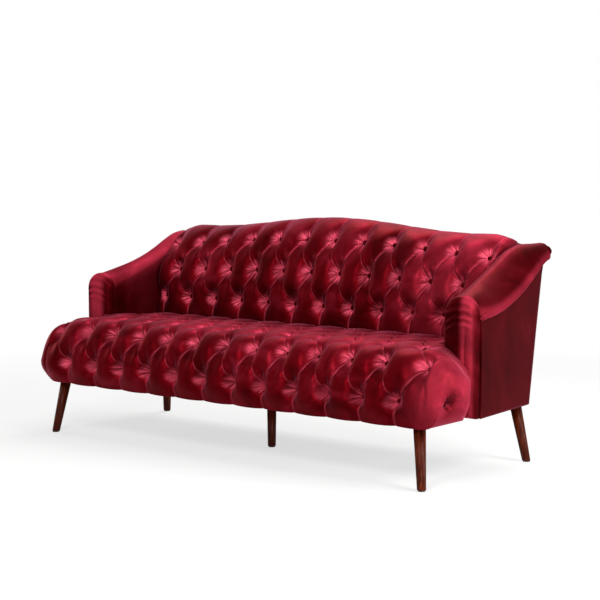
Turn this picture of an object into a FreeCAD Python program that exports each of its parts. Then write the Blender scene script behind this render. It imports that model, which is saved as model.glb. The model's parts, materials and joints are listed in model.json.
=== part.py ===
import FreeCAD, Part
import math
import os

# Three-seater settee with a deep-buttoned bench seat and a camel back. Millimetres, +Z up.
# Origin on the floor under the middle, front at -Y, left and right as seen from the front.

# Half width between the arms at their fronts, which the other widths follow
arm_inner_x = 822
far = 3000
clear = 0.3

# Seat frame
frame_bottom = 212
rail_height = 50
rail_thick = 30
side_rail_thick = 22
arm_wall = 40
arm_frame_x = arm_inner_x + arm_wall
frame_half = arm_frame_x + side_rail_thick
front_rail_y = -360
back_rail_y = 279
centre_rail_half = 45
centre_rail_thick = 28
cross_rail_x = 430
corner_block_leg = 85
corner_block_height = 40
felt_thick = 3.5
felt_inset = 1

# Arm front and the ears of the seat beside it
arm_front_y = -126
arm_front_depth = 26
arm_front_top = 632
arm_front_width = 135
arm_front_x = arm_inner_x + arm_front_width
arm_front_round = 20
ear_overhang = 15
arm_toe_in = 24
seat_half_width = arm_front_x + ear_overhang
seat_body_half = arm_inner_x - arm_toe_in + 3

# Seat tufting, rows from the back of the seat to its bottom edge: button place (y, z), depth, outward way
seat_pitch = 143.6
flank_level = 0.74
pleat_level = 0.42
half_row_swell = 4
seat_belly = 14
seat_low_lean = 0.7
seat_rows = {
    "rear": {"dip": (40, 446), "depth": 40, "way": (0.15, 1), "even": False, "end": "top", "ears": False},
    "deep": {"dip": (-80, 451), "depth": 41, "way": (0, 1), "even": True, "end": "top", "ears": False},
    "mid": {"dip": (-198, 452), "depth": 41, "way": (-0.08, 1), "even": False, "end": "top", "ears": True},
    "nose": {"dip": (-312, 402), "depth": 60, "way": (-0.75, 0.66), "even": True, "end": "nose",
             "ears": True},
    "front": {"dip": (-345, 288), "depth": 70, "way": (-1, 0.06), "even": False, "end": "front",
              "ears": True},
}
seat_button_margin = 80
seat_rear_edge = (119, 452)
seat_bottom_edge = (-378, frame_bottom - 3)
seat_end_reach = 110
seat_end_rounds = {"top": 95, "nose": 80, "front": 60, "low": 45}
seat_end_steps = [56, 22, 4]
seat_ear_round = 100
seat_core_top = [(-361, 266), (-330, 292), (-330, 360), (-262, 436), (-90, 437), (40, 432)]
seat_core_rear = (118.7, 425.5)
end_button = (-262, 283)

# Back tufting, rows from the seat up
back_pitch = 140
back_rise_half = 770
back_belly = 6
back_brow = 12
back_rows = {
    "low": {"dip": (170, 529), "depth": 48, "way": (-1, 0.05), "even": False, "hump": 0},
    "middle": {"dip": (183, 635), "depth": 48, "way": (-0.98, 0.2), "even": True, "hump": 22},
    "high": {"dip": (249, 733), "depth": 46, "way": (-0.8, 0.6), "even": False, "hump": 44},
}
back_button_margin = 26
back_foot = (130, 400)
back_top = (322, 820)
back_top_pleat = 8
back_top_hump = 46
back_rear_past = 12
back_rear_steps = ((12, -18), (50, back_rear_past))
hump_half = 650
hump_turn = 0.77
hump_turn_rise = 0.125
back_half = arm_inner_x - arm_toe_in - 1
back_end = {"row": 18, "top": 12}
back_core_front = [(182, 529), (196, 620), (262, 712), (285, 738)]

# Leaning outside back plane and the layers in front of it
lean_y = 290
lean_z = 220
lean_slope = 0.2
panel_thick = 8
frame_thick = 35
web_thick = 2
web_width = 55
top_rail_low = 690
top_rail_end = 755
top_rail_hump = 52
back_post_top = 705
outside_back_top = 814
outside_back_rim = [(98, 742), (110, 764), (102, 782), (70, 790), (0, 796)]
outside_back_flare = 712
upright_x = 290
upright_half = 22
low_rail_z = 420
low_rail_height = 60
back_web_rows = (422, 520, 610, 694)
back_web_count = 8
back_web_end = back_half - 97
back_web_spacing = 2 * back_web_end / (back_web_count - 1)
web_front_inset = 2
web_back_inset = 4
web_side_inset = 3
seat_web_rows = (-290, -200, -30, 40)
seat_web_count = 14
seat_web_end = seat_body_half - 21
seat_web_spacing = 2 * seat_web_end / (seat_web_count - 1)

# Arms, drawn for the right-hand side, with their widths counted from the inner width
arm_bottom = frame_bottom + 10
arm_slab_bottom = frame_bottom + rail_height + 13
arm_panel_toe_in = 47
arm_panel_front = arm_front_x - 7
arm_panel_rear = arm_panel_front - arm_panel_toe_in
arm_lip_tuck = 14
arm_lip_width = 22
arm_lip_seat = 6
arm_lip_bow = 4
arm_inner_bow = 0.26
arm_rail_height = 60
arm_stations = [
    {"y": -99.7, "inner": -2, "drop": 62, "top_x": 67, "top": 632,
     "outer": 133, "fall": 66, "swell": 19, "lip": 545},
    {"y": -30, "inner": -8, "drop": 50, "top_x": 54, "top": 651,
     "outer": 131, "fall": 70, "swell": 14, "lip": 556},
    {"y": 40, "inner": -14, "drop": 42, "top_x": 40, "top": 673,
     "outer": 129, "fall": 74, "swell": 10, "lip": 571},
    {"y": 120, "inner": -20, "drop": 36, "top_x": 34, "top": 703,
     "outer": 126, "fall": 76, "swell": 9, "lip": 596},
    {"y": 190, "inner": -24, "drop": 30, "top_x": 32, "top": 735,
     "outer": 124, "fall": 76, "swell": 9, "lip": 624},
    {"y": 255, "inner": -24, "drop": 22, "top_x": 34, "top": 767,
     "outer": 122, "fall": 72, "swell": 9, "lip": 661},
    {"y": 320, "inner": -24, "drop": 14, "top_x": 40, "top": 787,
     "outer": 120, "fall": 54, "swell": 9, "lip": 703},
    {"y": 385, "inner": -24, "drop": 12, "top_x": 46, "top": 789,
     "outer": 116, "fall": 30, "swell": 8, "lip": 728},
    {"y": 450, "inner": -24, "drop": 12, "top_x": 48, "top": 784,
     "outer": 114, "fall": 26, "swell": 8, "lip": 734},
]
arc_steps = 5
post_y = -95
post_depth = 45
post_width = 66
post_outer = arm_frame_x + post_width

# Legs
dust_thick = 1
dust_inset = 6
dust_ear = 30
dust_back_inset = 2
plate_thick = 2.5
leg_height = frame_bottom - dust_thick - plate_thick
front_foot = (frame_half + 9, front_rail_y - 6)
rear_foot = (frame_half + 21, back_rail_y + 14)
centre_foot_y = -70
leg_splay = 0.15
leg_top_radius = 21.5
leg_foot_radius = 15.5
centre_top_radius = 19
glide_height = 4
glide_radius = 13
plate_size = 50
leg_sides = 24
stud_radius = 4
stud_low = leg_height - 33.5

# Buttons
button_radius = 11
button_rise = 6
button_crown = 6
button_sides = 8


def vec(x, y, z):
    return FreeCAD.Vector(x, y, z)


def unit(a, b):
    size = math.hypot(a, b)
    return (a / size, b / size)


def block(x0, x1, y0, y1, z0, z1):
    return Part.makeBox(x1 - x0, y1 - y0, z1 - z0, vec(x0, y0, z0))


def prism_x(points, x0, x1):
    # Outline of (y, z) points drawn out along X
    wire = Part.makePolygon([vec(x0, y, z) for y, z in points + points[:1]])
    return Part.Face(wire).extrude(vec(x1 - x0, 0, 0))


def prism_z(points, z0, z1):
    # Outline of (x, y) points drawn out along Z
    wire = Part.makePolygon([vec(x, y, z0) for x, y in points + points[:1]])
    return Part.Face(wire).extrude(vec(0, 0, z1 - z0))


def mirrored(shape):
    return shape.mirror(vec(0, 0, 0), vec(1, 0, 0))


def both(shape):
    return [shape, mirrored(shape)]


def save(name, shapes):
    solids = [solid for shape in shapes for solid in shape.Solids]
    whole = solids[0] if len(solids) == 1 else Part.makeCompound(solids)
    whole.exportStep("parts/" + name + ".step")


def save_pair(name, shape):
    save("right_" + name, [shape])
    save("left_" + name, [mirrored(shape)])


def rear_y(z, ahead=0):
    # Depth of the outside back plane at a height, moved forward by a thickness
    return lean_y + lean_slope * (z - lean_z) - ahead * math.hypot(1, lean_slope)


def lean(shape):
    # Tips an upright back piece, drawn with its rear face on y = 0, into the leaning back plane
    tipped = shape.copy()
    tipped.rotate(vec(0, 0, lean_z), vec(1, 0, 0), -math.degrees(math.atan(lean_slope)))
    tipped.translate(vec(0, lean_y, 0))
    return tipped


def behind_back(ahead):
    # Everything behind the outside back plane moved forward by a thickness
    return prism_x([(rear_y(0, ahead), 0), (rear_y(far, ahead), far), (far, far), (far, 0)], -far, far)


def facet_body(rings):
    # Closed solid of flat facets through point rings, each quad split along the pleats
    faces = [Part.Face(Part.makePolygon(ring + ring[:1])) for ring in (rings[0], rings[-1])]
    size = len(rings[0])
    for i, (a, b) in enumerate(zip(rings, rings[1:])):
        for j in range(size):
            k = (j + 1) % size
            if (i + j) % 2 == 0:
                corners = [(a[j], a[k], b[k]), (a[j], b[k], b[j])]
            else:
                corners = [(a[j], a[k], b[j]), (a[k], b[k], b[j])]
            faces += [Part.Face(Part.makePolygon([p, q, r, p])) for p, q, r in corners]
    solid = Part.makeSolid(Part.makeShell(faces))
    if solid.Volume < 0:
        solid.reverse()
    return solid


def tuft_level(step, j):
    # Share of the tuft depth on the lattice of quarter pitches and half rows: button 0, crest 1
    # The first row has its buttons half a pitch off the middle
    if step is None:
        return 1
    if step % 2:
        return pleat_level if j % 2 else flank_level
    if j % 2:
        return flank_level
    return (step // 2 + j // 2 + 1) % 2


def tufted(rows, step, cuts, lift):
    # Points (y, z) down the rows and halfway between them, pushed out by the tuft level
    made = []
    for j in range(2 * len(rows) - 1):
        a, b = rows[j // 2], rows[(j + 1) // 2]
        way = unit(a["way"][0] + b["way"][0], a["way"][1] + b["way"][1])
        depth = (a["depth"] + b["depth"]) / 2 * tuft_level(step, j)
        depth += (j % 2) * half_row_swell - (cuts[j // 2] + cuts[(j + 1) // 2]) / 2
        y = (a["dip"][0] + b["dip"][0]) / 2 + way[0] * depth
        z = (a["dip"][1] + b["dip"][1]) / 2 + way[1] * depth + (lift[j // 2] + lift[(j + 1) // 2]) / 2
        made.append((y, z))
    return made


def seat_ring(x, step, end):
    rows = list(seat_rows.values())
    cuts = [end.get(row["end"], 0) for row in rows]
    points = tufted(rows, step, cuts, [0] * len(rows))
    heel = (seat_rear_edge[0], seat_rear_edge[1] - end.get("top", 0))
    rise = end.get("low", 0)
    low = seat_bottom_edge[1] + rise
    front = (seat_bottom_edge[0] + seat_low_lean * rise, low)
    last = points[-1]
    belly = ((last[0] + front[0]) / 2 - seat_belly, (last[1] + front[1]) / 2)
    outline = [heel] + points + [belly, front, (seat_rear_edge[0], low)]
    return [vec(x, y, z) for y, z in outline]


def seat_body():
    # One outline per quarter button pitch along X, with rounded ends
    quarter = seat_pitch / 4
    steps = int((seat_half_width - seat_end_reach) / quarter)
    rings = [seat_ring(step * quarter, step, {}) for step in range(-steps, steps + 1)]
    for inset in seat_end_steps:
        turn = 1 - math.sqrt(1 - (1 - inset / seat_end_reach) ** 2)
        end = {name: size * turn for name, size in seat_end_rounds.items()}
        rings.append(seat_ring(seat_half_width - inset, None, end))
        rings.insert(0, seat_ring(inset - seat_half_width, None, end))
    return facet_body(rings)


def seat_core(low, rear, grow):
    # Firm T-shaped core under the buttoned layer
    outline = [(seat_core_top[0][0], low)] + seat_core_top + [rear, (rear[0], low)]
    whole = prism_x(outline, -frame_half - 1, frame_half + 1)
    back, half = arm_front_y - clear + grow, seat_body_half + grow
    ears = block(-frame_half - 1, frame_half + 1, front_rail_y - 20, back, 0, far)
    body = block(-half, half, back - 1, rear[0] + 1, 0, far)
    return whole.common(ears.fuse(body))


def ear_notch():
    # Room for the arm behind the right ear, with the ear's back corner rounded
    back = arm_front_y - clear
    x0, y1, y2 = seat_half_width - seat_ear_round, back - seat_ear_round, far
    slant = seat_ear_round * math.sqrt(0.5)
    bend = Part.Arc(vec(x0, back, 0), vec(x0 + slant, y1 + slant, 0), vec(seat_half_width, y1, 0)).toShape()
    corners = [vec(seat_half_width, y1, 0), vec(far, y1, 0), vec(far, y2, 0), vec(seat_body_half, y2, 0),
               vec(seat_body_half, back, 0), vec(x0, back, 0)]
    wire = Part.Wire([bend] + Part.makePolygon(corners).Edges)
    return Part.Face(wire).extrude(vec(0, 0, far))


def seat_pad():
    pad = seat_body()
    for notch in both(ear_notch()):
        pad = pad.cut(notch)
    return pad.cut(seat_core(0, (seat_rear_edge[0] + 18, seat_core_rear[1] - 1.5), 1))


def seat_foam():
    low = frame_bottom + rail_height + 2 * web_thick + felt_thick
    foam = seat_core(low, seat_core_rear, -clear)
    return foam.cut(block(-far, far, front_rail_y - 5, seat_core_top[1][0], 0, seat_core_top[1][1]))


def hump(x):
    return math.cos(math.pi * x / (2 * hump_half)) ** 2 if abs(x) < hump_half else 0


def back_ring(x, step, end):
    rows = list(back_rows.values())
    rise = 1 - (min(abs(x), back_rise_half) / back_rise_half) ** 2
    lift = [rise * row["hump"] for row in rows]
    points = tufted(rows, step, [end.get("row", 0)] * len(rows), lift)
    pleat = back_top_pleat * (1 if step is None else 1 - abs(step % 4 - 2) / 2)
    top = (back_top[0], back_top[1] + back_top_hump * hump(x) - pleat - end.get("top", 0))
    high = points[-1]
    brow = ((high[0] + top[0]) / 2 - back_brow, (high[1] + top[1]) / 2 + back_brow)
    belly = ((points[0][0] + back_foot[0]) / 2 - back_belly, (points[0][1] + back_foot[1]) / 2)
    rear = [(rear_y(top[1] - drop) + past, top[1] - drop) for drop, past in back_rear_steps]
    heel = (rear_y(back_foot[1]) + back_rear_past, back_foot[1])
    outline = [back_foot, belly] + points + [brow, top] + rear + [heel]
    return [vec(x, y, z) for y, z in outline]


def back_body():
    quarter = back_pitch / 4
    steps = int(back_half / quarter)
    rings = [back_ring(step * quarter, step, {}) for step in range(-steps, steps + 1)]
    rings.append(back_ring(back_half, None, back_end))
    rings.insert(0, back_ring(-back_half, None, back_end))
    return facet_body(rings)


def camel_board(half, low, end, rise, y0, y1):
    # Upright board whose top edge runs level, then swells to the hump in the middle
    left = [vec(-half, y0, end), vec(-hump_half, y0, end)]
    flank = hump_half / 2
    turn, low_turn = hump_turn * hump_half, end + hump_turn_rise * rise
    mid = end + 0.5 * rise
    first = Part.Arc(left[1], vec(-turn, y0, low_turn), vec(-flank, y0, mid))
    crown = Part.Arc(vec(-flank, y0, mid), vec(0, y0, end + rise), vec(flank, y0, mid))
    last = Part.Arc(vec(flank, y0, mid), vec(turn, y0, low_turn), vec(hump_half, y0, end))
    rim = [vec(hump_half, y0, end), vec(half, y0, end), vec(half, y0, low), vec(-half, y0, low)] + left
    edges = [first.toShape(), crown.toShape(), last.toShape()] + Part.makePolygon(rim).Edges
    return Part.Face(Part.Wire(edges)).extrude(vec(0, y1 - y0, 0))


def back_frame_zone(gap):
    # Room taken by the back's timber and webbing, up to the camel rail, with a gap around it
    front = -panel_thick - frame_thick - 2 * web_thick - gap
    end = top_rail_end + gap
    return lean(camel_board(arm_frame_x, lean_z / 2, end, top_rail_hump, front, 2 * frame_thick))


def back_core():
    rear = panel_thick + frame_thick + 2 * web_thick
    low, top = back_foot[1], back_core_front[-1][1]
    rear_edge = [(rear_y(top, rear), top), (rear_y(low, rear), low)]
    outline = [(back_core_front[0][0], low)] + back_core_front + rear_edge
    return prism_x(outline, -back_half, back_half)


def back_pad():
    pad = back_body().cut(behind_back(panel_thick + clear))
    pad = pad.cut(back_frame_zone(clear))
    return pad.cut(back_core())


def bowed(start, end, bulge):
    # Points along a shallow arc across X, without its end
    chord = end - start
    side = vec(-chord.z, 0, chord.x) * (bulge / chord.Length)
    shares = [i / arc_steps for i in range(arc_steps)]
    return [start + chord * t + side * (4 * t * (1 - t)) for t in shares]


def arm_ring(s):
    y, lip = s["y"], s["lip"]
    wall, outer = arm_inner_x + s["inner"], arm_inner_x + s["outer"]
    under = lip + arm_lip_tuck
    inner = vec(wall, y, s["top"] - s["drop"])
    ridge = vec(arm_inner_x + s["top_x"], y, s["top"])
    brim = vec(outer, y, s["top"] - s["fall"])
    edge = vec(max(outer - arm_lip_width, panel_x(y) + 1), y, lip)
    rounds = bowed(inner, ridge, arm_inner_bow * s["drop"]) + bowed(ridge, brim, s["swell"])
    rounds += bowed(brim, edge, arm_lip_bow)
    return rounds + [edge, vec(panel_x(y) - arm_lip_seat, y, under), vec(arm_frame_x, y, under),
                     vec(arm_frame_x, y, arm_slab_bottom), vec(wall, y, arm_slab_bottom)]


def arm_pad():
    # Padded inner face and outward roll, rising to the back
    pad = facet_body([arm_ring(station) for station in arm_stations])
    pad = pad.cut(behind_back(panel_thick + clear))
    return pad.cut(back_frame_zone(clear))


def arm_front():
    # Round-topped padded facing on the front of the arm
    y0, y1 = arm_front_y, arm_front_y + arm_front_depth
    mid, half = (arm_inner_x + arm_front_x) / 2, (arm_front_x - arm_inner_x) / 2
    spring = arm_front_top - half
    slant = half * math.sqrt(0.5)
    top = vec(mid, y0, arm_front_top)
    left = Part.Arc(vec(arm_inner_x, y0, spring), vec(mid - slant, y0, spring + slant), top)
    right = Part.Arc(top, vec(mid + slant, y0, spring + slant), vec(arm_front_x, y0, spring))
    rim = [vec(arm_front_x, y0, spring), vec(arm_front_x, y0, arm_bottom), vec(arm_inner_x, y0, arm_bottom),
           vec(arm_inner_x, y0, spring)]
    wire = Part.Wire([left.toShape(), right.toShape()] + Part.makePolygon(rim).Edges)
    pad = Part.Face(wire).extrude(vec(0, y1 - y0, 0))
    boxes = [(edge, edge.BoundBox) for edge in pad.Edges]
    rims = [edge for edge, box in boxes if box.YMax < y0 + 1 and box.ZMax > arm_bottom + 1]
    pad = pad.makeFillet(arm_front_round, rims)
    return pad.cut(block(0, frame_half + clear, -far, far, 0, frame_bottom + rail_height + clear))


def panel_x(y):
    # Outer face of the outside arm panel, which draws in toward the back
    y0, y1 = arm_stations[0]["y"], rear_y(arm_bottom)
    return arm_panel_front + (arm_panel_rear - arm_panel_front) * (y - y0) / (y1 - y0)


def arm_under_line(drop):
    # Points (y, z) along the underside of the roll, lowered by a drop
    return [(s["y"], s["lip"] + arm_lip_tuck - drop) for s in arm_stations]


def arm_rail():
    top = [(y, z) for y, z in arm_under_line(4) if y > post_y + post_depth]
    top.insert(0, (post_y + post_depth, arm_stations[0]["lip"] + arm_lip_tuck - 2))
    outline = top + [(y, z - arm_rail_height) for y, z in reversed(top)]
    rail = prism_x(outline, arm_frame_x, frame_half)
    return rail.cut(behind_back(panel_thick + frame_thick))


def arm_post():
    return block(arm_frame_x, post_outer, post_y, post_y + post_depth, frame_bottom + rail_height,
                 arm_stations[0]["lip"] + arm_lip_tuck - 2)


def arm_outside():
    # Thin covered panel that closes the arm under the roll
    top = arm_under_line(arm_lip_tuck - 1)
    outline = top + [(top[-1][0], arm_bottom), (top[0][0], arm_bottom)]
    panel = prism_x(outline, 0, far)
    y0, y1 = arm_stations[0]["y"], arm_stations[-1]["y"]
    x0, x1 = panel_x(y0), panel_x(y1)
    plan = [(x0 - panel_thick, y0), (x0, y0), (x1, y1), (x1 - panel_thick, y1)]
    panel = panel.common(prism_z(plan, 0, far))
    return panel.cut(behind_back(panel_thick + clear))


def outside_back():
    # Plain covered panel over the whole back, its top following the camel line and the arm rolls
    y0 = -panel_thick
    low, flare = outside_back_top, outside_back_flare
    half = [(0, frame_bottom), (panel_x(lean_y) - 1, frame_bottom), (panel_x(rear_y(flare)) - 1, flare)]
    half += [(arm_inner_x + x, z) for x, z in outside_back_rim]
    half += [(back_half - 13, low - 4), (hump_half, low)]
    flank = hump_half / 2
    top = low + back_top_hump
    mid = (low + top) / 2
    turn, rise = hump_turn * hump_half, low + hump_turn_rise * back_top_hump
    curve = [Part.Arc(vec(hump_half, y0, low), vec(turn, y0, rise), vec(flank, y0, mid)),
             Part.Arc(vec(flank, y0, mid), vec(0, y0, top), vec(-flank, y0, mid)),
             Part.Arc(vec(-flank, y0, mid), vec(-turn, y0, rise), vec(-hump_half, y0, low))]
    rim = [(x, z) for x, z in reversed(half)] + [(-x, z) for x, z in half[1:]]
    edges = [arc.toShape() for arc in curve] + Part.makePolygon([vec(-x, y0, z) for x, z in rim]).Edges
    wire = Part.Wire(Part.__sortEdges__(edges))
    return lean(Part.Face(wire).extrude(vec(0, panel_thick, 0)))


def back_post():
    front = -panel_thick - frame_thick
    post = lean(block(arm_frame_x, frame_half, front, -panel_thick, lean_z / 2, back_post_top))
    return post.cut(block(0, far, 0, far, 0, frame_bottom + rail_height))


def back_top_rail():
    front = -panel_thick - frame_thick
    return lean(camel_board(arm_frame_x, top_rail_low, top_rail_end, top_rail_hump, front, -panel_thick))


def back_upright():
    front = -panel_thick - frame_thick
    x0, x1 = upright_x - upright_half, upright_x + upright_half
    upright = block(x0, x1, front, -panel_thick, lean_z / 2, top_rail_low)
    return lean(upright).cut(block(0, far, 0, far, 0, frame_bottom + rail_height))


def back_low_rails():
    front = -panel_thick - frame_thick
    spans = [(-arm_frame_x, -upright_x - upright_half), (upright_half - upright_x, upright_x - upright_half),
             (upright_x + upright_half, arm_frame_x)]
    high = low_rail_z + low_rail_height
    return [lean(block(x0, x1, front, -panel_thick, low_rail_z, high)) for x0, x1 in spans]


def back_webbing():
    front = -panel_thick - frame_thick
    across = [lean(block(-back_half, back_half, front - web_thick, front, z, z + web_width))
              for z in back_web_rows]
    places = [(i - (back_web_count - 1) / 2) * back_web_spacing for i in range(back_web_count)]
    upright = [lean(block(x - web_width / 2, x + web_width / 2, front - 2 * web_thick, front - web_thick,
                          back_web_rows[0], back_web_rows[-1] + web_width)) for x in places]
    return across + upright


def seat_webbing():
    z = frame_bottom + rail_height
    places = [(i - (seat_web_count - 1) / 2) * seat_web_spacing for i in range(seat_web_count)]
    half = web_width / 2
    front = front_rail_y + web_front_inset
    back = rear_y(z, panel_thick + frame_thick + web_thick) - web_back_inset
    along = [block(x - half, x + half, front, back, z, z + web_thick) for x in places]
    side, low = frame_half - web_side_inset, z + web_thick
    across = [block(-side, side, y, y + web_width, low, low + web_thick) for y in seat_web_rows]
    return along + across


def foot_axis(foot, splay):
    # Point on a leg's centre line at a height, for a foot place and an inward splay (x, y)
    return lambda z: vec(foot[0] + splay[0] * z, foot[1] + splay[1] * z, z)


def tapered(rings):
    # Solid between two similar rings of points
    faces = [Part.Face(Part.makePolygon(ring + ring[:1])) for ring in rings]
    low, high = rings
    for i in range(len(low)):
        faces.append(Part.Face(Part.makePolygon([low[i - 1], low[i], high[i], high[i - 1], low[i - 1]])))
    solid = Part.makeSolid(Part.makeShell(faces))
    if solid.Volume < 0:
        solid.reverse()
    return solid


def ring_points(centre, radius, sides):
    turns = [math.tau * i / sides for i in range(sides)]
    return [centre + vec(radius * math.cos(turn), radius * math.sin(turn), 0) for turn in turns]


def leg(axis, foot_radius, top_radius):
    # Round tapered leg between level ends, with a hole for the stud
    foot = ring_points(axis(glide_height), foot_radius, leg_sides)
    top = ring_points(axis(leg_height), top_radius, leg_sides)
    return tapered([foot, top]).cut(stud(axis, stud_radius + clear, stud_low - 2))


def stud(axis, radius, low):
    way = axis(leg_height) - axis(low)
    rod = Part.makeCylinder(radius, 2 * way.Length, axis(low), way)
    return rod.common(block(-far, far, -far, far, 0, leg_height))


def leg_plate(axis):
    at = axis(leg_height)
    half = plate_size / 2
    return block(at.x - half, at.x + half, at.y - half, at.y + half, leg_height, leg_height + plate_thick)


def leg_glide(axis):
    at = axis(0)
    return Part.makeCylinder(glide_radius, glide_height, vec(at.x, at.y, 0))


def button(at, way, seat):
    # Covered button, a low dome whose rim rests on the sides of its dip
    rim = ring_points(vec(0, 0, seat), button_radius, button_sides)
    crown = ring_points(vec(0, 0, seat + button_rise), button_crown, button_sides)
    solid = tapered([rim, crown])
    solid.Placement = FreeCAD.Placement(at, FreeCAD.Rotation(vec(0, 0, 1), way))
    return solid


def row_buttons(rows, limits, pitch):
    # Buttons of each row out to the limit of that row
    made = []
    for name, row in rows.items():
        seat = flank_level * row["depth"] * button_radius / (pitch / 4) + 4 * clear
        last = int(limits[name] / (pitch / 2))
        for column in range(-last, last + 1):
            if (column % 2 == 0) != row["even"]:
                continue
            x = column * pitch / 2
            lift = row.get("hump", 0) * (1 - (x / back_rise_half) ** 2)
            y, z = row["dip"]
            made.append(button(vec(x, y, z + lift), vec(0, *row["way"]), seat))
    return made


def dust_cover():
    # Thin black cloth under the whole frame, out to the arm panels
    edge, ear = frame_half - dust_inset, arm_front_y + dust_ear
    half = [(edge, front_rail_y + dust_inset), (edge, ear), (panel_x(ear) - panel_thick, ear),
            (edge, back_rail_y - dust_back_inset)]
    outline = half + [(-x, y) for x, y in reversed(half)]
    return prism_z(outline, frame_bottom - dust_thick, frame_bottom)


def corner_block(x, y, toward):
    corners = [(x, y), (x - corner_block_leg, y), (x, y + toward * corner_block_leg)]
    return prism_z(corners, frame_bottom, frame_bottom + corner_block_height)


os.makedirs("parts", exist_ok=True)

front_axis = foot_axis(front_foot, (-leg_splay, leg_splay))
rear_axis = foot_axis(rear_foot, (-leg_splay, -leg_splay))
centre_axis = foot_axis((0, centre_foot_y), (0, 0))
leg_axes = (front_axis, rear_axis, centre_axis)
rail_top = frame_bottom + rail_height
front_inner = front_rail_y + rail_thick
back_inner = back_rail_y - rail_thick

save("seat_front_rail", [block(-frame_half, frame_half, front_rail_y, front_inner, frame_bottom, rail_top)])
save("seat_back_rail", [block(-frame_half, frame_half, back_inner, back_rail_y, frame_bottom, rail_top)])
save_pair("seat_side_rail", block(arm_frame_x, frame_half, front_inner, back_inner, frame_bottom, rail_top))
save("seat_centre_rail", [block(-centre_rail_half, centre_rail_half, front_inner, back_inner, frame_bottom,
                                frame_bottom + centre_rail_thick)])
cross_x0, cross_x1 = cross_rail_x - rail_thick / 2, cross_rail_x + rail_thick / 2
save("seat_cross_rails", both(block(cross_x0, cross_x1, front_inner, back_inner, frame_bottom, rail_top)))
save("seat_corner_blocks", both(corner_block(arm_frame_x, front_inner, 1))
     + both(corner_block(arm_frame_x, back_inner, -1)))
save("seat_webbing", seat_webbing())
felt_low = rail_top + 2 * web_thick
felt_half, felt_front = seat_body_half - felt_inset, front_inner + 2 * felt_inset
felt_top = felt_low + felt_thick
save("seat_felt", [block(-felt_half, felt_half, felt_front, seat_core_rear[0], felt_low, felt_top)])
save("seat_foam", [seat_foam()])
save("seat_pad", [seat_pad()])

save_pair("back_post", back_post())
save("back_top_rail", [back_top_rail()])
save("back_uprights", both(back_upright()))
save("back_low_rails", back_low_rails())
save("back_webbing", back_webbing())
save("back_foam", [back_core()])
save("back_pad", [back_pad()])
save("outside_back_panel", [outside_back()])

save_pair("arm_pad", arm_pad())
save_pair("arm_front", arm_front())
save_pair("arm_post", arm_post())
save_pair("arm_rail", arm_rail())
save_pair("arm_outside_panel", arm_outside())

save_pair("front_leg", leg(front_axis, leg_foot_radius, leg_top_radius))
save_pair("rear_leg", leg(rear_axis, leg_foot_radius, leg_top_radius))
save("centre_leg", [leg(centre_axis, leg_foot_radius, centre_top_radius)])
save("leg_plates", both(leg_plate(front_axis)) + both(leg_plate(rear_axis)) + [leg_plate(centre_axis)])
save("leg_glides", both(leg_glide(front_axis)) + both(leg_glide(rear_axis)) + [leg_glide(centre_axis)])
front_stud, rear_stud, centre_stud = [stud(axis, stud_radius, stud_low) for axis in leg_axes]
save("leg_studs", both(front_stud) + both(rear_stud) + [centre_stud])
save("dust_cover", [dust_cover()])

side_button = button(vec(seat_half_width - seat_end_steps[-1], *end_button), vec(1, 0, 0), clear)
ear_limit, body_limit = seat_half_width - seat_end_reach, seat_body_half - seat_button_margin
seat_limits = {name: ear_limit if row["ears"] else body_limit for name, row in seat_rows.items()}
back_limits = {name: back_half - back_button_margin for name in back_rows}
save("seat_buttons", row_buttons(seat_rows, seat_limits, seat_pitch) + both(side_button))
save("back_buttons", row_buttons(back_rows, back_limits, back_pitch))
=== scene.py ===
import json
import math

import bmesh
import bpy
import numpy as np
from mathutils import Matrix, Vector


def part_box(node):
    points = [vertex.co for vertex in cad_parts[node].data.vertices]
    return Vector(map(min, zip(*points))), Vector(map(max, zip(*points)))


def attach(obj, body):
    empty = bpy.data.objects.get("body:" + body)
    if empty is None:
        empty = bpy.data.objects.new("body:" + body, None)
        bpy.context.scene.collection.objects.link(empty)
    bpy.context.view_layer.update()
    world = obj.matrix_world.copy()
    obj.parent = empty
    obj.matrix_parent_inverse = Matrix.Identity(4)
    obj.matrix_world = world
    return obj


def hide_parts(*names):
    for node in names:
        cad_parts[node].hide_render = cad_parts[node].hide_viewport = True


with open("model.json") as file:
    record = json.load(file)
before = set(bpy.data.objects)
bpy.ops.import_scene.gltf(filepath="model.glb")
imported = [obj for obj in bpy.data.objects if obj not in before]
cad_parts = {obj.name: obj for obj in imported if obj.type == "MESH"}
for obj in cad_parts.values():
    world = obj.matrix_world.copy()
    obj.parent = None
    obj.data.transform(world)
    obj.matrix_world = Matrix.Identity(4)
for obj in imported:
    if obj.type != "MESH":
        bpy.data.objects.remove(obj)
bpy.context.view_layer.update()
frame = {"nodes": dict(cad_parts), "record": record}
scene = bpy.context.scene
scene.view_settings.view_transform = "Standard"
mm = 0.001


# Camera, solved from the buttons, feet and shoulders
view = {"place": (3.6221, -4.3917, 1.0626), "pitch": 84.95, "turn": 38.87, "lens": 89.4, "sensor": 36}


def addCamera():
    lens = bpy.data.cameras.new("photoCamera")
    lens.lens = view["lens"]
    lens.sensor_width = view["sensor"]
    camera = bpy.data.objects.new("photoCamera", lens)
    camera.location = view["place"]
    camera.rotation_euler = (math.radians(view["pitch"]), 0, math.radians(view["turn"]))
    scene.collection.objects.link(camera)
    scene.camera = camera
    print("camera set")


# Material helpers
def newMaterial(name, sockets):
    # New material, given what is the same all over on its shader
    material = bpy.data.materials.new(name)
    material.use_nodes = True
    tree = material.node_tree
    shader = tree.nodes["Principled BSDF"]
    for label, value in sockets.items():
        shader.inputs[label].default_value = value
    return material, tree, shader


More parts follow.
